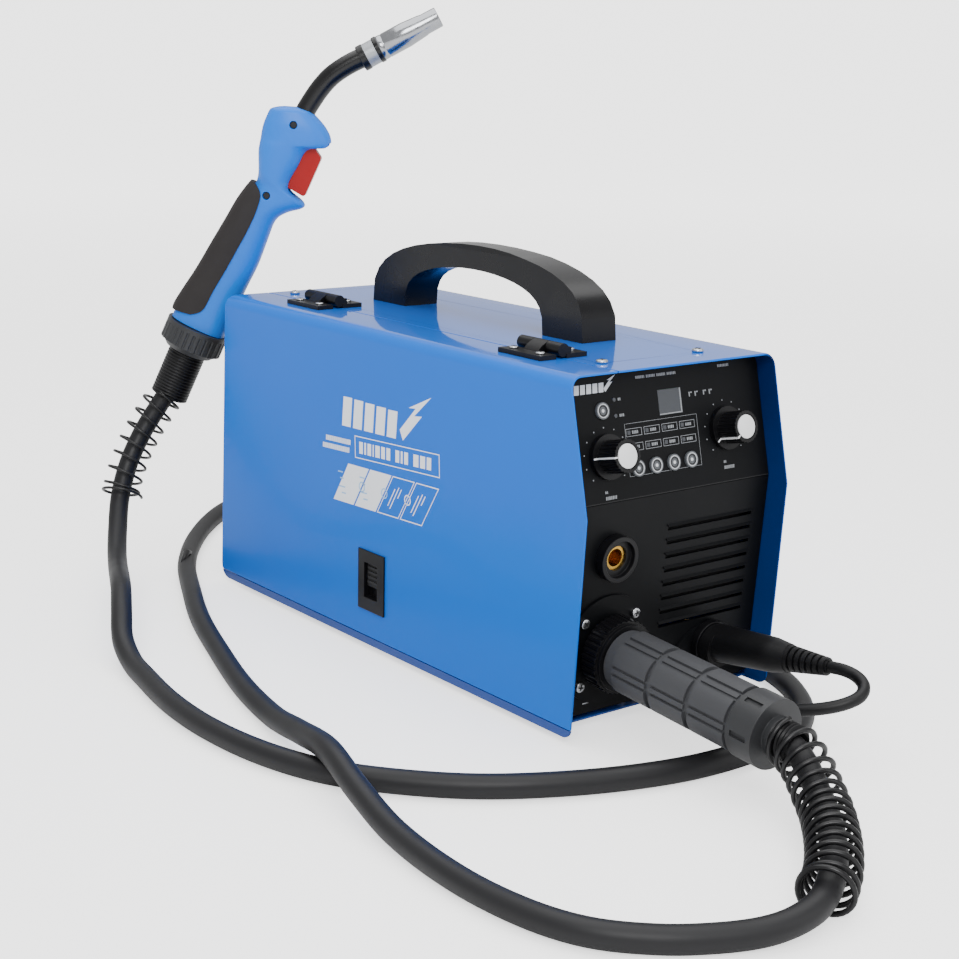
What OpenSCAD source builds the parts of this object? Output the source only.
// Compact inverter welding machine for wire welding.
// Origin: centre of the footprint, on the floor under the rubber feet.
// +X is the right side seen from the front, -Y is the front, +Z is up.

/* [Case] */
// Width across the side panels
body_w = 200; // [196:1:206]
// Height of the case above its lower edge
body_h = 257; // [254:1:262]
// Length of the case along its lower edge
body_l = 485; // [482:1:492]
// Thickness of the folded sheet steel
sheet = 1.5; // [1:0.1:2]
// Outer radius of the folded top edges
fold_r = 10; // [7:1:12]
// How far the rubber feet lift the case off the floor
foot_h = 5; // [4:0.5:7]
// Width of the strip of the top that opens with the door
door_lip = 44; // [42:1:46]
// Depth of the front panels behind the edges of the side panels
panel_inset = 17; // [15:1:18]

/* [Carrying handle] */
// Length of the handle over its two feet
handle_l = 276; // [260:2:290]
// Rise of the handle above the top of the case
handle_h = 60; // [54:1:66]
// Width of the handle
handle_w = 34; // [28:1:38]

/* [Controls] */
// Outer diameter of the two dials
dial_d = 32; // [28:1:34]
// How far the dials stand out
dial_h = 22; // [18:1:26]
// Diameter of the push buttons
button_d = 12; // [10:0.5:13]
// Distance between neighbouring buttons
button_pitch = 17.4; // [16:0.2:18]

/* [Sockets] */
// Outer diameter of the bayonet sockets
socket_d = 34; // [31:1:36]
// Bore of the bayonet sockets
socket_bore = 13; // [12:0.5:14]
// Diameter of the union nut of the torch connector
union_d = 55; // [52:1:58]

/* [Wire feed] */
// Outer diameter of the wire spool
spool_d = 200; // [180:5:200]
// Width of the wire spool
spool_w = 55; // [45:1:55]
// Diameter of the drive roll
roll_d = 30; // [28:1:32]

/* [Torch] */
// Outer diameter of the torch cable
cable_d = 17; // [15:0.5:18]
// Outer diameter of the gas nozzle
nozzle_d = 19; // [17:0.5:21]
// Diameter of the polarity lead
lead_d = 9; // [8:0.5:10]

/* [Hidden] */
$fn = 48;
eps = 0.01;
hw = body_w / 2;
hl = body_l / 2;
z0 = foot_h;
zt = foot_h + body_h;
seam_x = -hw + door_lip;
sill_z = foot_h + 6.4;
crease = [-234, z0 + 165];
face_tilt = 13;
base_tilt = 4;
face_h = 92.4 + (body_h - 257);
base_h = 158;
inner_w = hw - sheet - 1;
rear_y = 219;
wall_x = -8;
hinge_z = zt + 6;
hinge_ys = [140, -148];
dial_at = [[-61, 32], [57, 39.5]];
dial_turn = [0, 35];
mode_at = [-60.7, 64.3];
menu_x = -33.2;
menu_s = 20.8;
lamp_s = [46.5, 36];
display_at = [4.7, 64.5];
union_at = [-55, -110.5];
socket_at = [[-55, -41], [48, -124]];
spool_y = 112;
spool_z = z0 + 122;
feed_y = -118;
wire_z = z0 + 54;
fan_at = [48, z0 + 150];
latch_y = 2;
latch_z = z0 + 54;
torch_turn = -38.27;
torch_at = [-81.7, 269, -18.9];
torch_scale = 1.04;
torch_lean = 23.5;
nut_at = [-20, 238];

// The side panel as a closed outline, from its lower front corner
side_outline = [
    [-hl, z0], [-hl - 8.8, z0 + 161], [-hl + 12.8, zt],
    [hl - 11.5, zt], [hl, z0]
];

// Route of the torch cable, from the connector to the torch
cable_route = [
    [-55, -386, 48.7], [-55, -399, 47.8], [-57, -411, 45], [-61, -425, 39],
    [-69, -442, 30], [-83, -463, 24], [-112, -493, 22], [-137, -513, 19],
    [-159, -524, 15], [-180, -526, 12], [-201, -522, 10], [-225, -511, 9], [-253, -493, 9],
    [-279, -464, 9], [-293, -425, 9], [-298, -370, 9], [-294, -305, 11],
    [-287, -255, 19], [-277, -205, 27], [-266, -155, 20], [-254, -100, 11],
    [-238, -30, 9], [-213, 50, 9], [-185, 130, 9], [-152, 205, 9],
    [-118, 275, 9], [-75, 340, 9], [-25, 398, 9], [25, 440, 9],
    [75, 460, 9], [122, 449, 9], [155, 412, 9], [168, 350, 9],
    [165, 260, 9], [157, 160, 9], [148, 60, 9], [139, -40, 9],
    [131, -140, 9], [121, -215, 9], [97, -274, 9], [53, -320, 9],
    [-3, -335, 9], [-60, -335, 9], [-110, -324, 9], [-160, -304, 9],
    [-207, -276, 9], [-245, -240, 9], [-274, -200, 9], [-292, -150, 9],
    [-300, -90, 9], [-298, -30, 9], [-288, 31, 9], [-283, 61, 11],
    [-276, 90, 20], [-264, 115, 34], [-251, 141, 42], [-238, 169, 42],
    [-225, 197, 39], [-212, 225, 37], [-199, 252, 41], [-186, 276, 54],
    [-175, 292, 77], [-163, 299, 104], [-147, 302, 131], [-130, 300, 156],
    [-114.4, 294.7, 181], [-104.6, 287, 209.6]
];

// Route of the polarity lead, from its plug back to the panel
lead_route = [
    [57, -340, 56.5], [58, -352, 57.3], [58, -363, 56], [54, -373, 53],
    [45, -378, 49], [34, -375, 45], [24, -366, 41], [15, -352, 37],
    [8, -335, 33], [3, -315, 29], [0, -295, 27], [-1, -275, 25.6],
    [-1, -258, 24.2], [-1, -246, 23.9], [-1, -236, 24.4], [-1, -226, 25.2]
];

function unit(v) = v / norm(v);
function arc_corner(a, b, c, r, n) =
    let(u = unit(a - b), v = unit(c - b), h = acos(u * v) / 2)
    let(o = b + unit(u + v) * r / sin(h), s = b + u * r / tan(h) - o)
    let(e = b + v * r / tan(h) - o, a0 = atan2(s[1], s[0]))
    let(da = ((atan2(e[1], e[0]) - a0 + 540) % 360) - 180)
    [for (i = [0 : n]) o + r * [cos(a0 + da * i / n), sin(a0 + da * i / n)]];
function rounded(p, r, n = 6) = let(k = len(p))
    [for (i = [0 : k - 1])
        each (r[i] == 0 ? [p[i]] : arc_corner(p[(i + k - 1) % k], p[i], p[(i + 1) % k], r[i], n))];
function box2(x0, y0, x1, y1) = [[x0, y0], [x1, y0], [x1, y1], [x0, y1]];

// Tube swept along a route, one ring at each point of the route
function tangent(p, i) = unit(p[min(i + 1, len(p) - 1)] - p[max(i - 1, 0)]);
function carry(n, t) = unit(n - (n * t) * t);
function frames(p, i, n) =
    i == len(p) ? [] : let(m = carry(n, tangent(p, i))) concat([m], frames(p, i + 1, m));
module route_tube(p, d, sides) {
    ns = frames(p, 0, [0, 0, 1]);
    k = len(p);
    pts = [for (i = [0 : k - 1]) let(t = tangent(p, i), b = cross(t, ns[i]))
        for (j = [0 : sides - 1]) let(a = 360 * j / sides)
            p[i] + d / 2 * (cos(a) * ns[i] + sin(a) * b)];
    skin = [for (i = [0 : k - 2], j = [0 : sides - 1]) let(q = (j + 1) % sides)
        [i * sides + j, i * sides + q, (i + 1) * sides + q, (i + 1) * sides + j]];
    first = [for (j = [sides - 1 : -1 : 0]) j];
    last = [for (j = [0 : sides - 1]) (k - 1) * sides + j];
    turned = [for (f = concat(skin, [first, last])) [for (v = [len(f) - 1 : -1 : 0]) f[v]]];
    polyhedron(points = pts, faces = turned, convexity = 10);
}

// Places an outline drawn in Y and Z, and pulls it along X
module pull_x(x0, len) {
    translate([x0, 0, 0]) rotate([90, 0, 90]) linear_extrude(len) children();
}
// Places an outline drawn in X and Z, and pulls it along Y
module pull_y(y0, len) {
    translate([0, y0 + len, 0]) rotate([90, 0, 0]) linear_extrude(len) children();
}
// Upper front panel: x across, s up from the crease, outward is +Z
module on_face(x, s) {
    translate([0, crease[0], crease[1]]) rotate([90 - face_tilt, 0, 0]) translate([x, s, 0]) children();
}
// Lower front panel: x across, s up from the crease (negative), outward is +Z
module on_base(x, s) {
    translate([0, crease[0], crease[1]]) rotate([90 + base_tilt, 0, 0]) translate([x, s, 0]) children();
}
// Torch frame: local X and Z lie in the plane of the torch
module on_torch() {
    translate(torch_at) rotate([0, 0, torch_turn]) scale(torch_scale) children();
}
// Axis of the torch handle's lower end, pointing up along the handle
module on_nut() {
    on_torch() translate([nut_at[0], 0, nut_at[1]]) rotate([0, torch_lean, 0]) children();
}
module side_shape() {
    pull_x(-hw - 5, body_w + 10) polygon(rounded(side_outline, [8, 0, 0, 0, 12]));
}

// ---------------------------------------------------------------- case
module base_tray() {
    color("#2f6db8")
    difference() {
        union() {
            translate([-inner_w, -222, z0 + 2]) cube([2 * inner_w, 438, sheet]);
            for (s = [-1, 1]) translate([s * (inner_w - sheet / 2) - sheet / 2, -218, z0 + 2])
                cube([sheet, 432, 20]);
            translate([-inner_w + 8, 214.5, z0 + 2]) cube([2 * inner_w - 16, sheet, 18]);
            translate([-hw + 0.5, -218, z0 + 2]) cube([4, 432, sheet]);
            intersection() {
                side_shape();
                translate([-hw, -260, z0 - 1]) cube([sheet, 520, sill_z - z0 + 1]);
            }
        }
        for (x = [-72, 72], y = [-185, 185]) translate([x, y, z0]) cylinder(d = 5.2, h = 8);
        for (i = [0 : 6]) translate([18 + i * 10, 60, z0]) cube([4, 70, 8]);
    }
}
module rubber_feet() {
    color("#1b1b1d")
    for (x = [-72, 72], y = [-185, 185]) translate([x, y, 0]) {
        cylinder(d = 22, h = z0 + 1.8);
        translate([0, 0, z0 + 1.7]) cylinder(d = 5, h = 4);
    }
}
module outer_cover() {
    color("#4890d0")
    difference() {
        intersection() {
            side_shape();
            pull_y(-260, 520) polygon(rounded([
                [hw, z0 - 1], [hw, zt], [seam_x + 0.6, zt],
                [seam_x + 0.6, zt - sheet], [hw - sheet, zt - sheet], [hw - sheet, z0 - 1]
            ], [0, fold_r, 0, 0, fold_r - sheet, 0], 8));
        }
        for (x = [-44.7, 50]) translate([x, -200, zt - 5]) cylinder(d = 2.6, h = 10);
        for (x = [-40, 50]) translate([x, 212, zt - 5]) cylinder(d = 2.6, h = 10);
        for (i = [0 : 9]) translate([hw - 5, 40 + i * 14, z0 + 70]) cube([10, 4, 70]);
        for (i = [0 : 9]) translate([hw - 5, -170 + i * 14, z0 + 50]) cube([10, 4, 50]);
    }
}
module door_panel() {
    color("#4890d0")
    difference() {
        intersection() {
            side_shape();
            pull_y(-260, 520) polygon(rounded([
                [-hw, sill_z + 0.6], [-hw, zt], [seam_x - 0.6, zt],
                [seam_x - 0.6, zt - sheet], [-hw + sheet, zt - sheet], [-hw + sheet, sill_z + 0.6]
            ], [0, fold_r, 0, 0, fold_r - sheet, 0], 8));
        }
        translate([-hw - 5, latch_y - 14, latch_z - 21]) cube([10, 28, 42]);
    }
}
module centre_divider() {
    color("#8d9298")
    difference() {
        translate([wall_x, -190, z0 + 4]) cube([sheet, 404, body_h - 8]);
        translate([wall_x - 5, feed_y, wire_z - roll_d / 2]) rotate([0, 90, 0])
            cylinder(d = 30, h = 12);
        translate([wall_x - 5, -176, z0 + 190]) cube([12, 50, 30]);
        translate([wall_x - 5, spool_y, spool_z]) rotate([0, 90, 0]) cylinder(d = 10, h = 12);
    }
}
module rear_panel() {
    color("#232427")
    difference() {
        pull_y(rear_y, sheet) polygon(rounded(box2(-inner_w, z0 + 4, inner_w, zt - sheet - 0.4),
            [0, 0, 9, 9]));
        translate([fan_at[0], rear_y - 5, fan_at[1]]) rotate([-90, 0, 0])
            for (i = [0 : 4]) difference() {
                cylinder(r = 6 + i * 8, h = 12);
                translate([0, 0, -1]) cylinder(r = 2 + i * 8, h = 14);
                for (a = [0, 90]) rotate([0, 0, a + 45]) translate([-60, -2, -1]) cube([120, 4, 14]);
            }
        translate([-56 - 13.7, rear_y - 5, z0 + 190 - 11]) cube([27.4, 12, 22]);
        translate([-56, rear_y - 5, z0 + 60]) rotate([-90, 0, 0]) cylinder(d = 16.2, h = 12);
        translate([20, rear_y - 5, z0 + 40]) rotate([-90, 0, 0]) cylinder(d = 10.2, h = 12);
    }
}
module carry_handle() {
    k = 20;
    o = [for (i = [0 : k]) let(a = 180 * i / k) [-handle_l / 2 * cos(a), handle_h * pow(sin(a), 0.62)]];
    n = [for (i = [0 : k]) let(a = 180 * i / k)
        [(handle_l / 2 - 47) * cos(a), (handle_h - 19) * pow(sin(a), 0.6)]];
    color("#1c1c1e")
    difference() {
        translate([0, 10, 0]) intersection() {
            pull_x(17 - handle_w / 2, handle_w) translate([0, zt]) polygon(concat(o, n));
            pull_y(-200, 400) polygon([
                [17 - handle_w / 2, zt - 1], [17 + handle_w / 2, zt - 1], [17 + handle_w / 2, zt + 18],
                [17 + handle_w / 2 - 3, zt + handle_h - 4], [17 + handle_w / 2 - 7, zt + handle_h + 1],
                [17 - handle_w / 2 + 7, zt + handle_h + 1],
                    [17 - handle_w / 2 + 3, zt + handle_h - 4], [17 - handle_w / 2, zt + 18]
            ]);
        }
        for (y = [-108, 128]) translate([17, y, zt - 1]) cylinder(d = 4.2, h = 14);
    }
}

// ---------------------------------------------------------------- hinges and latch
module hinge_leaves_fixed() {
    color("#1b1b1d")
    for (y = hinge_ys) translate([seam_x, y, zt]) {
        difference() {
            union() {
                translate([2.5, -24, 0]) cube([19.5, 48, 3.5]);
                translate([0, -9, 6]) rotate([-90, 0, 0]) cylinder(d = 3.9, h = 18);
                for (s = [-1, 1]) translate([0, s * 16 - 7.5, 6]) rotate([-90, 0, 0])
                    cylinder(d = 10, h = 15);
                for (s = [-1, 1]) translate([2.5, s * 16 - 7.5, 0]) cube([5, 15, 8]);
            }
            for (s = [-1, 1]) translate([14, s * 14, -1]) cylinder(d = 3.4, h = 6);
            translate([2.2, -8.3, -1]) cube([3.4, 16.6, 10]);
        }
    }
}
module hinge_leaves_door() {
    color("#1b1b1d")
    for (y = hinge_ys) translate([seam_x, y, zt]) difference() {
        union() {
            translate([-22, -24, 0]) cube([15, 48, 3.5]);
            translate([0, -8, 6]) rotate([-90, 0, 0]) cylinder(d = 10, h = 16);
            pull_y(-8, 16) polygon([[-14, 0], [-2, 1.4], [-2, 10.5], [-8, 7]]);
        }
        translate([0, -30, 6]) rotate([-90, 0, 0]) cylinder(d = 4.1, h = 60);
        for (s = [-1, 1]) translate([-14.5, s * 15, -1]) cylinder(d = 3.4, h = 6);
    }
}
module latch_frame() {
    color("#232326")
    translate([-hw, latch_y, latch_z]) difference() {
        union() {
            translate([-1.6, -18, -25]) cube([1.6, 36, 50]);
            translate([-0.1, -13.7, -20.7]) cube([8, 27.4, 41.4]);
        }
        translate([-3, -9, -14]) cube([8, 18, 29]);
        translate([-3, -4, -26]) cube([1, 8, 3]);
    }
}
module latch_slider() {
    color("#101012")
    translate([-hw, latch_y, latch_z]) {
        translate([1.5, -8.6, -5]) cube([3.2, 17.2, 19.6]);
        for (i = [0 : 3]) translate([0.3, -7, -2 + i * 4]) cube([1.3, 14, 2]);
    }
}

// ---------------------------------------------------------------- front panels and controls
module control_fascia() {
    color("#1d1e21")
    on_face(0, 0) difference() {
        translate([0, 0, -2]) linear_extrude(2)
            polygon(rounded(box2(-inner_w, 0.4, inner_w, face_h), [0, 0, 9, 9]));
        translate([display_at[0] - 11.5, display_at[1] - 9.25, -3]) cube([23, 18.5, 5]);
        translate([mode_at[0], mode_at[1], -3]) cylinder(d = button_d + 0.8, h = 5);
        for (i = [0 : 3]) translate([menu_x + i * button_pitch, menu_s, -3])
            cylinder(d = button_d + 0.8, h = 5);
        for (i = [0 : 3], s = lamp_s) translate([menu_x + i * button_pitch - 6.5, s - 1.7, -3])
            cube([3.4, 3.4, 5]);
        for (s = [59.6, 71]) translate([-48.5, s, -3]) cylinder(d = 3.2, h = 5);
        for (p = dial_at) translate([p[0], p[1], -3]) cylinder(d = 7, h = 5);
    }
}
module display_windows() {
    color("#4a4c50")
    on_face(0, 0) {
        translate([display_at[0] - 11.3, display_at[1] - 9.05, -2]) cube([22.6, 18.1, 2.2]);
        for (i = [0 : 3], s = lamp_s) translate([menu_x + i * button_pitch - 6.3, s - 1.5, -2])
            cube([3, 3, 2.2]);
        for (s = [59.6, 71]) translate([-48.5, s, -2]) cylinder(d = 2.8, h = 2.4);
    }
}
module control_board() {
    color("#1f6b3a")
    on_face(0, 0) {
        difference() {
            translate([-84, 8, -14]) cube([168, 78, 1.6]);
            for (x = [-80, 80], s = [12, 82]) translate([x, s, -15]) cylinder(d = 3.2, h = 4);
        }
        for (p = dial_at) translate([p[0], p[1], -12.5]) cylinder(d = 17, h = 6.5);
        translate([mode_at[0] - 3, mode_at[1] - 3, -12.5]) cube([6, 6, 6]);
        for (i = [0 : 3]) translate([menu_x + i * button_pitch - 3, menu_s - 3, -12.5]) cube([6, 6, 6]);
        translate([display_at[0] - 12, display_at[1] - 9.5, -12.5]) cube([24, 19, 9]);
    }
}
module dial(turn) {
    rotate([0, 0, turn]) difference() {
        union() {
            translate([0, 0, 0.4]) cylinder(d = dial_d, h = 3.6);
            translate([0, 0, 3.9]) cylinder(d = dial_d * 0.74, h = dial_h - 3.9);
            translate([0, 0, -5.6]) cylinder(d = 6, h = 6.2);
        }
        for (a = [0 : 15 : 345]) rotate([0, 0, a]) translate([dial_d * 0.37 + 0.7, 0, 4.4])
            cylinder(d = 2.4, h = dial_h);
        translate([0, 0, dial_h - 0.8]) cylinder(d = dial_d * 0.6, h = 2);
    }
}
module voltage_dial() {
    color("#161618") on_face(dial_at[0][0], dial_at[0][1]) dial(dial_turn[0]);
}
module current_dial() {
    color("#161618") on_face(dial_at[1][0], dial_at[1][1]) dial(dial_turn[1]);
}
module button() {
    difference() {
        union() {
            translate([0, 0, -1.5]) cylinder(d = button_d, h = 3);
            translate([0, 0, -5.4]) cylinder(d = 5, h = 4);
        }
        translate([0, 0, 1.1]) cylinder(d = button_d * 0.5, h = 1);
    }
}
module mode_button() {
    color("#77797c") on_face(mode_at[0], mode_at[1]) button();
}
module menu_button(i) {
    color("#77797c") on_face(menu_x + i * button_pitch, menu_s) button();
}
module menu_button_1() { menu_button(0); }
module menu_button_2() { menu_button(1); }
module menu_button_3() { menu_button(2); }
module menu_button_4() { menu_button(3); }

module connector_panel() {
    color("#1d1e21")
    on_base(0, 0) difference() {
        union() {
            translate([0, 0, -2]) linear_extrude(2) polygon(box2(-inner_w, -base_h, inner_w, -0.4));
            intersection() {
                translate([0, 0, -1]) linear_extrude(3) polygon(box2(-inner_w, -base_h, inner_w, -0.4));
                union() {
                    translate([union_at[0], union_at[1], -2]) cylinder(r = 41, h = 4.5, $fn = 96);
                    translate([socket_at[1][0], socket_at[1][1] - 26, -2])
                        cylinder(r = 41, h = 4.5, $fn = 96);
                }
            }
            for (i = [0 : 7]) translate([-4, -26 - i * 10.8, 0])
                rotate([90, 0, 90]) linear_extrude(88)
                    polygon([[0, -0.5], [1.8, -0.5], [1.8, 0], [0.2, 1.6], [0, 1.6]]);
        }
        for (i = [0 : 7]) translate([-3, -29.4 - i * 10.8, -4]) cube([86, 3.2, 8]);
        translate([union_at[0], union_at[1], -5]) cylinder(d = 36, h = 12);
        for (p = socket_at) translate([p[0], p[1], -5]) cylinder(d = socket_d - 6, h = 12);
        for (a = [45 : 90 : 315])
            translate([union_at[0] + 34 * cos(a), union_at[1] + 34 * sin(a), -5])
                cylinder(d = 2.6, h = 12);
        translate([-1, -145, -5]) cylinder(d = 14.2, h = 12);
        translate([-1, -145, 0.02]) cylinder(d = 20, h = 6);
    }
}
module socket_collars() {
    color("#121214")
    on_base(0, 0) {
        for (i = [0, 1]) translate([socket_at[i][0], socket_at[i][1], i * 2]) difference() {
            union() {
                cylinder(d = socket_d, h = 8 - i * 2);
                translate([0, 0, -12 - i * 2]) cylinder(d = socket_d - 6.4, h = 14);
            }
            translate([0, 0, -20]) cylinder(d = 18.1, h = 40);
            translate([0, 0, 4]) cylinder(d = socket_d - 7, h = 10);
        }
        translate([union_at[0], union_at[1], 2]) difference() {
            union() {
                translate([0, 0, 0.2]) cylinder(d = 47, h = 3);
                translate([0, 0, -14]) cylinder(d = 35.6, h = 16);
            }
            translate([0, 0, -20]) cylinder(d = 25.1, h = 40);
        }
    }
}
module brass_sockets() {
    color("#c8a25a")
    on_base(0, 0) {
        for (p = socket_at) translate([p[0], p[1], -22]) difference() {
            cylinder(d = 18, h = 24);
            translate([0, 0, 6]) cylinder(d = socket_bore, h = 30);
        }
        translate([union_at[0], union_at[1], -34]) difference() {
            cylinder(d = 25, h = 38);
            translate([0, 0, 12]) cylinder(d = 10, h = 40);
            translate([0, 0, -1]) cylinder(d = 3, h = 20);
        }
    }
}

// ---------------------------------------------------------------- torch connector
module union_nut() {
    color("#2b2c2f")
    on_base(union_at[0], union_at[1]) difference() {
        union() {
            translate([0, 0, 5.6]) cylinder(d = union_d, h = 14);
            translate([0, 0, 19.5]) cylinder(d = union_d - 5, h = 3);
        }
        translate([0, 0, 5]) cylinder(d = 31, h = 30);
        for (a = [0 : 10 : 350]) rotate([0, 0, a]) translate([union_d / 2 + 0.6, 0, 5])
            cylinder(d = 3, h = 15, $fn = 16);
    }
}
// One sixth of the grip's outline: angle from the middle of a double groove, radius
grip_sixth = [
    [-10, 23.6], [-9, 21.8], [-5.2, 21.8], [-4.2, 23.2], [4.2, 23.2], [5.2, 21.8],
    [9, 21.8], [10, 23.6], [16, 24], [23, 24.2], [30, 24.2], [37, 24.2], [44, 24]
];
module connector_grip() {
    color("#3a3b3e")
    on_base(union_at[0], union_at[1]) difference() {
        union() {
            translate([0, 0, 5.3]) cylinder(d = 30.6, h = 19);
            translate([0, 0, 23]) cylinder(d = 43.2, h = 121);
            for (i = [0 : 2]) translate([0, 0, 33 + i * 37.5]) linear_extrude(33)
                polygon([for (k = [0 : 5], q = grip_sixth)
                    q[1] * [cos(q[0] + 60 * k), sin(q[0] + 60 * k)]]);
        }
        translate([0, 0, 4]) cylinder(d = 10, h = 120);
    }
}
module connector_ring() {
    color("#3a3b3e")
    on_base(union_at[0], union_at[1]) difference() {
        union() {
            translate([0, 0, 144.2]) cylinder(d = 49, h = 22);
            translate([0, 0, 160]) cylinder(d = 27, h = 11);
        }
        for (a = [0 : 60 : 300]) rotate([0, 0, a]) translate([22.5, -2, 148]) cube([6, 4, 14]);
        translate([0, 0, 143]) cylinder(d = cable_d + 1, h = 45);
    }
}
module connector_spring() {
    color("#17171a") difference() {
        route_tube([for (i = [1 : 7]) cable_route[i]], 35, 16);
        route_tube([for (i = [0 : 8]) cable_route[i]], cable_d + 1.6, 16);
    }
}
module torch_cable() {
    color("#2a2a2c") route_tube(cable_route, cable_d, 10);
}

// ---------------------------------------------------------------- polarity lead
module polarity_plug() {
    color("#141416")
    on_base(socket_at[1][0], socket_at[1][1]) {
        translate([0, 0, -14]) cylinder(d = 12.6, h = 24);
        translate([0, 0, 8.4]) cylinder(d = 31, h = 10);
        rotate([-9, 4.5, 0]) {
            translate([0, 0, 14]) cylinder(d1 = 29, d2 = 26, h = 52);
            translate([0, 0, 66]) cylinder(d1 = 26, d2 = 21, h = 14);
            for (i = [0 : 6]) translate([0, 0, 80 + i * 5]) {
                cylinder(d1 = 20 - i, d2 = 19.4 - i, h = 3.2);
                cylinder(d = 15 - i * 0.8, h = 5.1);
            }
        }
    }
}
module polarity_lead() {
    color("#1a1a1c") route_tube(lead_route, lead_d, 8);
}
module polarity_gland() {
    color("#141416")
    on_base(-1, -145) difference() {
        union() {
            translate([0, 0, 0.1]) cylinder(d = 19, h = 4);
            translate([0, 0, -9]) cylinder(d = 14, h = 10);
            translate([0, 0, 4]) cylinder(d1 = 16, d2 = 12, h = 14);
        }
        translate([0, 0, -10]) cylinder(d = lead_d + 0.8, h = 40);
    }
}

// ---------------------------------------------------------------- torch
// Each row: back point, front point (both in the torch plane) and half thickness
grip_rows = [
    [[-42, 248], [2, 228], 20], [[-38, 256], [6, 237], 19.5], [[-28, 269], [13, 252], 18],
    [[-16, 285], [21, 270], 16.5], [[-4, 306], [32, 292], 16], [[7, 326], [40, 313], 16],
    [[16, 343], [47, 330], 16], [[24, 354], [57, 337], 16], [[30, 361], [70, 341], 15.5],
    [[32, 366], [71, 346], 15.5], [[34, 373], [59, 358], 16], [[35, 388], [68, 377], 16.5],
    [[37, 395], [76, 390], 16.5], [[38, 400], [91, 392], 16.5], [[40, 406], [88, 401], 16],
    [[43, 413], [80, 412], 14.5], [[50, 422], [77, 421], 12]
];
pad_rows = [
    [[-42.5, 250], [2, 230], 20.6], [[-41, 258], [6, 238], 20.4], [[-33, 271], [13, 253], 19],
    [[-21, 289], [21, 271], 17.6], [[-8, 311], [32, 293], 17], [[4, 331], [40, 314], 17],
    [[14, 348], [47, 331], 17], [[22, 359], [57, 338], 17], [[27, 365], [70, 342], 16.6],
    [[30, 371], [70, 350], 16.4]
];
pad_region = [
    [22, 366], [31, 361.5], [36, 353], [33, 340], [25.4, 323], [16, 306], [6.5, 289], [-4, 271.4], [-11, 257.6],
    [-13, 252], [-60, 252], [-60, 380], [14, 380]
];
neck_route = [
    [66, 0, 408], [72, 0, 421], [78, 0, 431], [85, 0, 441], [93, 0, 450], [102, 0, 457],
        [113, 0, 463.5], [124, 0, 468.5]
];

function shrink(row, k, t) = let(c = (row[0] + row[1]) / 2)
    [c + (row[0] - c) * k, c + (row[1] - c) * k, row[2] - t];
function squared(a, p) = sign(a) * pow(abs(a), p);
module loft(rows, sides = 24) {
    k = len(rows);
    pts = [for (r = rows) let(c = (r[0] + r[1]) / 2, h = (r[1] - r[0]) / 2)
        for (j = [0 : sides - 1]) let(a = 360 * j / sides, e = c + h * squared(cos(a), 0.8))
            [e[0], r[2] * squared(sin(a), 0.8), e[1]]];
    skin = [for (i = [0 : k - 2], j = [0 : sides - 1]) let(q = (j + 1) % sides)
        each [[i * sides + j, (i + 1) * sides + q, i * sides + q],
            [i * sides + j, (i + 1) * sides + j, (i + 1) * sides + q]]];
    polyhedron(points = pts, faces = concat(skin,
        [[for (j = [0 : sides - 1]) j], [for (j = [sides - 1 : -1 : 0]) (k - 1) * sides + j]]),
            convexity = 10);
}
module handle_half(side) {
    n = len(grip_rows);
    difference() {
        loft(grip_rows);
        loft([for (i = [1 : n - 2]) shrink(grip_rows[i], 0.82, 3)]);
        translate([-100, side > 0 ? -59.97 : -0.03, 180]) cube([250, 60, 300]);
        translate([0, 7, 0]) rotate([90, 0, 0]) linear_extrude(14)
            polygon([[62, 396], [96, 396], [96, 388], [73, 347.5], [56, 353.5], [44, 354.5]]);
        translate([66, 0, 408]) rotate([0, 30, 0]) translate([0, 0, -4]) cylinder(d = 17.4, h = 30);
        translate([-20, 0, 238]) rotate([0, torch_lean, 0]) translate([0, 0, -8])
            cylinder(d = 24, h = 30);
        for (p = [[64, 411], [41, 352], [-14, 262]]) translate([p[0], 30, p[1]]) rotate([90, 0, 0]) {
            cylinder(d = 3, h = 60);
        }
        for (p = [[64, 411], [41, 352], [-14, 262]]) translate([p[0], -11, p[1]])
            rotate([90, 0, 0]) cylinder(d = 6.4, h = 20);
    }
}
module torch_handle_left() {
    color("#4a9fe0") on_torch() {
        handle_half(-1);
        translate([68, 9.5, 390]) rotate([90, 0, 0]) cylinder(d = 3, h = 22);
    }
}
module torch_handle_right() {
    color("#4a9fe0") on_torch() handle_half(1);
}
module torch_grip_pad() {
    color("#3a3b3e") on_torch() difference() {
        intersection() {
            loft(pad_rows);
            translate([0, 40, 0]) rotate([90, 0, 0]) linear_extrude(80) polygon(pad_region);
        }
        loft(grip_rows);
    }
}
module torch_trigger() {
    color("#d4202a") on_torch() difference() {
        translate([0, 6, 0]) rotate([90, 0, 0]) linear_extrude(12) polygon(rounded([
            [73, 394.6], [81, 391.5], [86.5, 383.5], [72, 350.8], [60, 357.5], [52, 361.5],
                [62.6, 385.5],
            [62.6, 391.5], [66, 394.6]
        ], [1.5, 2, 3, 2, 0, 2, 1, 2, 1.5], 4));
        translate([68, 20, 390]) rotate([90, 0, 0]) cylinder(d = 3.1, h = 40);
    }
}
module torch_nut() {
    color("#242528") on_nut() difference() {
        union() {
            translate([0, 0, -19]) cylinder(d = 54, h = 18.3);
            translate([0, 0, -24]) cylinder(d1 = 40, d2 = 50, h = 5.1);
        }
        translate([0, 0, -30]) cylinder(d = 23, h = 40);
        for (a = [0 : 12 : 348]) rotate([0, 0, a]) translate([27.4, 0, -19.5])
            cylinder(d = 2.6, h = 15, $fn = 16);
    }
}
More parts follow.
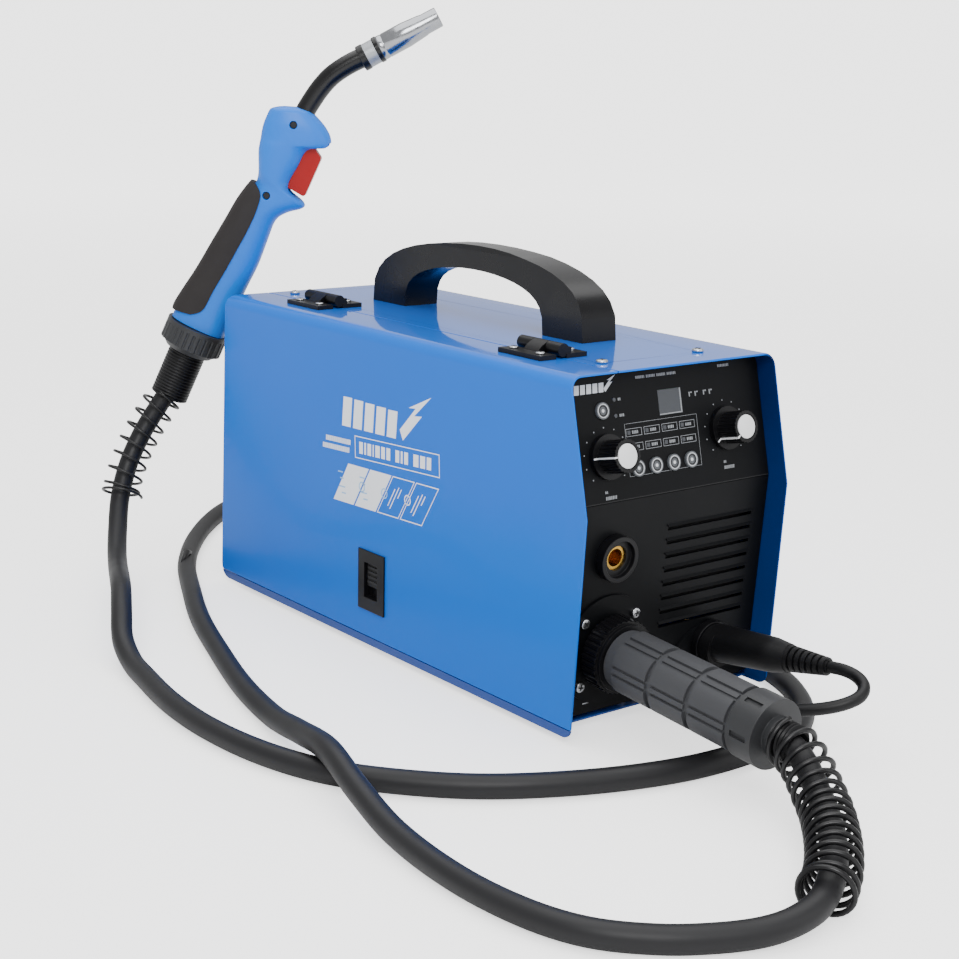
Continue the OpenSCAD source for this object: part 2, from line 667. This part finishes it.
module torch_strain_relief() {
    k = len(cable_route);
    color("#17171a") {
        on_nut() difference() {
            union() {
                translate([0, 0, -26]) cylinder(d = 22.6, h = 28);
                translate([0, 0, -68]) cylinder(d = 30.4, h = 43.6);
                for (i = [0 : 8]) translate([0, 0, -67.5 + i * 4.7]) cylinder(d = 32.4, h = 2.6);
            }
            translate([0, 0, -80]) cylinder(d = cable_d + 3.4, h = 100);
        }
        difference() {
            route_tube([for (i = [k - 7 : k - 3]) cable_route[i]], 33, 16);
            route_tube([for (i = [k - 8 : k - 2]) cable_route[i]], cable_d + 1.6, 16);
        }
    }
}
module torch_neck() {
    color("#141416") on_torch() {
        union() {
            route_tube(neck_route, 17, 20);
            translate([66, 0, 408]) rotate([0, 24, 0]) translate([0, 0, -10]) cylinder(d = 13, h = 11);
        }
    }
}
module on_nozzle() {
    on_torch() translate([124, 0, 468.5]) rotate([0, 61, 0]) children();
}
module torch_insulator() {
    color("#d8d4c8") on_nozzle() difference() {
        cylinder(d = 21.5, h = 12);
        translate([0, 0, -1]) cylinder(d = 8.2, h = 20);
    }
}
module gas_nozzle() {
    color("#c9ccd0") on_nozzle() difference() {
        union() {
            translate([0, 0, 12.1]) cylinder(d = nozzle_d + 2, h = 26);
            translate([0, 0, 38]) cylinder(d1 = nozzle_d + 2, d2 = nozzle_d - 2, h = 16);
            translate([0, 0, 53.9]) cylinder(d = nozzle_d - 2, h = 14.1);
        }
        translate([0, 0, 11]) cylinder(d = nozzle_d - 1.4, h = 27.5);
        translate([0, 0, 38.4]) cylinder(d1 = nozzle_d - 1.4, d2 = nozzle_d - 5, h = 16);
        translate([0, 0, 54.3]) cylinder(d = nozzle_d - 5, h = 20);
    }
}
module contact_tip() {
    color("#b87333") on_nozzle() difference() {
        union() {
            translate([0, 0, -6]) cylinder(d = 8, h = 22);
            translate([0, 0, 12.2]) cylinder(d = 11, h = 20);
            translate([0, 0, 32]) cylinder(d = 8, h = 22);
            translate([0, 0, 54]) cylinder(d1 = 8, d2 = 5, h = 9);
        }
        translate([0, 0, -8]) cylinder(d = 1.2, h = 80);
    }
}

// ---------------------------------------------------------------- fixings
module fixing_screws() {
    color("#c4c7cb") {
        for (p = [[-44.7, -200], [50, -200], [-40, 212], [50, 212]]) translate([p[0], p[1], zt])
            difference() {
            union() {
                cylinder(d = 7.5, h = 2.4);
                translate([0, 0, -4.5]) cylinder(d = 2.5, h = 5);
            }
            translate([-2.4, -0.4, 1.7]) cube([4.8, 0.8, 1]);
            translate([-0.4, -2.4, 1.7]) cube([0.8, 4.8, 1]);
        }
        on_base(union_at[0], union_at[1]) for (a = [45 : 90 : 315])
            translate([34 * cos(a), 34 * sin(a), 2]) {
                translate([0, 0, 0]) cylinder(d = 7.4, h = 2.2);
                translate([0, 0, -6]) cylinder(d = 2.5, h = 7);
            }
        for (y = hinge_ys, s = [-1, 1]) {
            translate([seam_x + 14, y + s * 14, zt]) {
                translate([0, 0, 3.5]) cylinder(d = 6, h = 1.6);
                cylinder(d = 3.2, h = 4);
            }
        }
        on_torch() for (p = [[64, 411], [41, 352], [-14, 262]])
            translate([p[0], -8, p[1]]) rotate([90, 0, 0]) {
                translate([0, 0, 0.9]) cylinder(d = 2.8, h = 4);
                translate([0, 0, 3.1]) cylinder(d = 5.6, h = 2);
            }
    }
}

// ---------------------------------------------------------------- rear fittings
module fan_frame() {
    color("#1a1a1c")
    translate([fan_at[0], rear_y - 25.2, fan_at[1]]) rotate([-90, 0, 0]) difference() {
        linear_extrude(25) polygon(rounded(box2(-46, -46, 46, 46), [5, 5, 5, 5]));
        difference() {
            translate([0, 0, -1]) cylinder(d = 87, h = 27);
            cylinder(d = 34, h = 3);
            for (a = [45 : 90 : 315]) rotate([0, 0, a]) translate([0, -4, 0]) cube([46, 8, 3]);
        }
        for (x = [-41, 41], y = [-41, 41]) translate([x, y, -1]) cylinder(d = 4.3, h = 27);
    }
}
module fan_rotor() {
    color("#2a2a2d")
    translate([fan_at[0], rear_y - 25.2, fan_at[1]]) rotate([-90, 0, 0]) {
        translate([0, 0, 3.6]) cylinder(d = 33, h = 20);
        for (a = [0 : 360 / 7 : 359]) rotate([0, 0, a]) translate([15, 0, 13.6]) rotate([52, 0, 0])
            translate([0, -10, -0.9]) cube([26.5, 20, 1.8]);
    }
}
module switch_housing() {
    color("#161618")
    translate([-56, rear_y + sheet, z0 + 190]) rotate([-90, 0, 0]) difference() {
        union() {
            translate([-15.5, -12.5, 0.05]) cube([31, 25, 2.4]);
            translate([-13.5, -10.8, -18]) cube([27, 21.6, 18.2]);
        }
        translate([-11, -8, -12]) cube([22, 16, 20]);
        translate([0, 10, -1]) rotate([90, 0, 0]) cylinder(d = 3.2, h = 20);
    }
}
module switch_rocker() {
    color("#c81e1e")
    translate([-56, rear_y + sheet, z0 + 190]) rotate([-90, 0, 0])
        union() {
            translate([0, 7.8, 0]) rotate([90, 0, 0]) linear_extrude(15.6)
                polygon([[-9.3, 1.4], [-8.8, -2.6], [8.8, -2.6], [9.2, 4.8], [0, 2.4]]);
            translate([0, 9.4, -1]) rotate([90, 0, 0]) cylinder(d = 2.8, h = 18.8);
        }
}
module mains_gland() {
    color("#161618")
    translate([-56, rear_y + sheet, z0 + 60]) rotate([-90, 0, 0]) difference() {
        union() {
            translate([0, 0, 0.05]) cylinder(d = 25, h = 6, $fn = 6);
            translate([0, 0, -12]) cylinder(d = 16, h = 13);
            translate([0, 0, 6]) cylinder(d1 = 22, d2 = 15, h = 14);
        }
        translate([0, 0, -13]) cylinder(d = 9, h = 40);
    }
}
module gas_inlet() {
    color("#c8a25a")
    translate([20, rear_y + sheet, z0 + 40]) rotate([-90, 0, 0]) difference() {
        union() {
            translate([0, 0, 0.05]) cylinder(d = 17, h = 5, $fn = 6);
            translate([0, 0, -14]) cylinder(d = 10, h = 15);
            translate([0, 0, 5]) cylinder(d = 8, h = 17);
            for (i = [0 : 2]) translate([0, 0, 8 + i * 4.5]) cylinder(d1 = 8, d2 = 9.6, h = 3);
        }
        translate([0, 0, -15]) cylinder(d = 4.5, h = 40);
    }
}

// ---------------------------------------------------------------- wire feed
module feeder_base() {
    color("#9a9da1")
    difference() {
        union() {
            translate([-46, feed_y - 42, wire_z - 44]) cube([8, 84, 78]);
            for (y = [-38, 30], z = [-40, 22]) translate([-38, feed_y + y, wire_z + z])
                cube([29.95, 8, 8]);
            translate([-66, feed_y - 42, wire_z - 6]) cube([20.05, 18, 12]);
            translate([-66, feed_y + 24, wire_z - 6]) cube([20.05, 18, 12]);
            translate([-60, feed_y + 33, wire_z + 22]) rotate([0, 90, 0]) cylinder(d = 8, h = 14.1);
        }
        translate([-70, feed_y, wire_z - roll_d / 2 - 0.6]) rotate([0, 90, 0]) cylinder(d = 9, h = 60);
        translate([-56, feed_y - 60, wire_z]) rotate([-90, 0, 0]) cylinder(d = 2.2, h = 120);
    }
}
module feed_motor() {
    color("#7d8187")
    translate([0, feed_y, wire_z - roll_d / 2 - 0.6]) {
        translate([-37.9, -19, -19]) cube([26, 38, 38]);
        translate([-12, 0, 0]) rotate([0, 90, 0]) cylinder(d = 28, h = 62);
        translate([-57, 0, 0]) rotate([0, 90, 0]) cylinder(d = 6, h = 19.6);
    }
}
module drive_roll() {
    color("#b9bcc0")
    translate([-56, feed_y, wire_z - roll_d / 2 - 0.6]) rotate([0, 90, 0]) difference() {
        union() {
            translate([0, 0, -6]) cylinder(d = roll_d, h = 12);
            translate([0, 0, -11]) cylinder(d = 14, h = 5.1);
        }
        rotate_extrude() translate([roll_d / 2 + 0.2, 0]) circle(r = 1, $fn = 16);
        translate([0, 0, -2]) cylinder(d = 6.05, h = 10);
    }
}
module idler_roll() {
    color("#b9bcc0")
    translate([-56, feed_y, wire_z + 12 + 0.6]) rotate([0, 90, 0]) difference() {
        translate([0, 0, -5]) cylinder(d = 24, h = 10);
        translate([0, 0, -6]) cylinder(d = 8.1, h = 12);
    }
}
module pressure_arm() {
    color("#2b2c2f")
    difference() {
        union() {
            pull_x(-66.2, 4.6) polygon(rounded([
                [feed_y + 41, wire_z + 15], [feed_y + 41, wire_z + 29], [feed_y, wire_z + 26],
                [feed_y - 38, wire_z + 26], [feed_y - 38, wire_z + 14], [feed_y - 12, wire_z + 5],
                    [feed_y + 12, wire_z + 5]
            ], [4, 4, 0, 4, 3, 5, 5], 5));
            translate([-66, feed_y, wire_z + 12.6]) rotate([0, 90, 0]) cylinder(d = 8, h = 15.4);
            translate([-62, feed_y - 38, wire_z + 16]) cube([14, 10, 10]);
        }
        translate([-70, feed_y + 33, wire_z + 22]) rotate([0, 90, 0]) cylinder(d = 8.1, h = 40);
        translate([-55, feed_y - 33, wire_z + 10]) cylinder(d = 4.1, h = 30);
    }
    color("#2b2c2f") difference() {
        translate([-62, feed_y + 33, wire_z + 22]) rotate([0, 90, 0]) cylinder(d = 14, h = 8);
        translate([-70, feed_y + 33, wire_z + 22]) rotate([0, 90, 0]) cylinder(d = 8.1, h = 40);
    }
}
module tension_knob() {
    color("#c22a2a")
    translate([-55, feed_y - 33, wire_z]) {
        translate([0, 0, 10]) cylinder(d = 4, h = 46);
        difference() {
            translate([0, 0, 30]) cylinder(d = 18, h = 30);
            for (a = [0 : 30 : 330]) rotate([0, 0, a]) translate([9.8, 0, 29])
                cylinder(d = 3, h = 32, $fn = 16);
        }
        translate([0, 0, 26.1]) cylinder(d = 12, h = 4);
    }
}
module spool_hub() {
    color("#2b2c2f")
    translate([wall_x, spool_y, spool_z]) rotate([0, -90, 0]) difference() {
        union() {
            cylinder(d = 70, h = 5);
            cylinder(d = 49.4, h = 66);
            translate([0, 0, 65.9]) cylinder(d = 18, h = 12);
        }
        translate([0, 0, -1]) cylinder(d = 8, h = 12);
        for (a = [0 : 60 : 300]) rotate([0, 0, a]) translate([16, 0, 12]) cylinder(d = 9, h = 60);
    }
}
module wire_spool() {
    color("#25262a")
    translate([wall_x - 6, spool_y, spool_z]) rotate([0, -90, 0]) difference() {
        union() {
            cylinder(d = spool_d, h = 3.5);
            translate([0, 0, spool_w - 3.5]) cylinder(d = spool_d, h = 3.5);
            cylinder(d = 70, h = spool_w);
        }
        translate([0, 0, -1]) cylinder(d = 50, h = spool_w + 2);
        for (a = [0 : 60 : 300]) rotate([0, 0, a]) {
            translate([68, 0, -1]) cylinder(d = 26, h = spool_w + 2);
            translate([44, 0, -1]) cylinder(d = 12, h = spool_w + 2);
        }
    }
}
module wound_wire() {
    color("#b87850")
    translate([wall_x - 6, spool_y, spool_z]) rotate([0, -90, 0]) difference() {
        translate([0, 0, 3.6]) cylinder(d = spool_d - 24, h = spool_w - 7.2);
        translate([0, 0, 1]) cylinder(d = 70.1, h = spool_w);
    }
}
module spool_nut() {
    color("#1a1a1c")
    translate([wall_x - 66.5, spool_y, spool_z]) rotate([0, -90, 0]) difference() {
        union() {
            cylinder(d = 60, h = 6);
            for (a = [0 : 120 : 240]) rotate([0, 0, a]) translate([0, -6, 0]) cube([34, 12, 12]);
            cylinder(d = 28, h = 14);
        }
        translate([0, 0, -1]) cylinder(d = 18.1, h = 13);
    }
}
module inverter_module() {
    color("#2a6e45") translate([30, -96, z0 + 12]) cube([1.8, 266, 180]);
    color("#a9adb2") for (i = [0 : 8]) translate([31.7, -90 + i * 16, z0 + 60]) cube([38, 3, 100]);
    color("#a9adb2") translate([31.7, -92, z0 + 60]) cube([5, 134, 100]);
    color("#c58a35") translate([31.7, 60, z0 + 20]) cube([46, 60, 60]);
    color("#20242c") for (i = [0 : 2]) translate([31.7, 70 + i * 36, z0 + 120]) rotate([0, 90, 0])
        cylinder(d = 32, h = 45);
}

base_tray();
rubber_feet();
outer_cover();
centre_divider();
rear_panel();
control_fascia();
connector_panel();
display_windows();
control_board();
socket_collars();
brass_sockets();
carry_handle();
fixing_screws();
hinge_leaves_fixed();
door_panel();
hinge_leaves_door();
latch_frame();
latch_slider();
voltage_dial();
current_dial();
mode_button();
menu_button_1();
menu_button_2();
menu_button_3();
menu_button_4();
union_nut();
connector_grip();
connector_ring();
connector_spring();
torch_cable();
torch_strain_relief();
torch_nut();
torch_handle_left();
torch_handle_right();
torch_grip_pad();
torch_trigger();
torch_neck();
torch_insulator();
gas_nozzle();
contact_tip();
polarity_plug();
polarity_lead();
polarity_gland();
fan_frame();
fan_rotor();
switch_housing();
switch_rocker();
mains_gland();
gas_inlet();
feeder_base();
feed_motor();
drive_roll();
idler_roll();
pressure_arm();
tension_knob();
spool_hub();
wire_spool();
wound_wire();
spool_nut();
inverter_module();
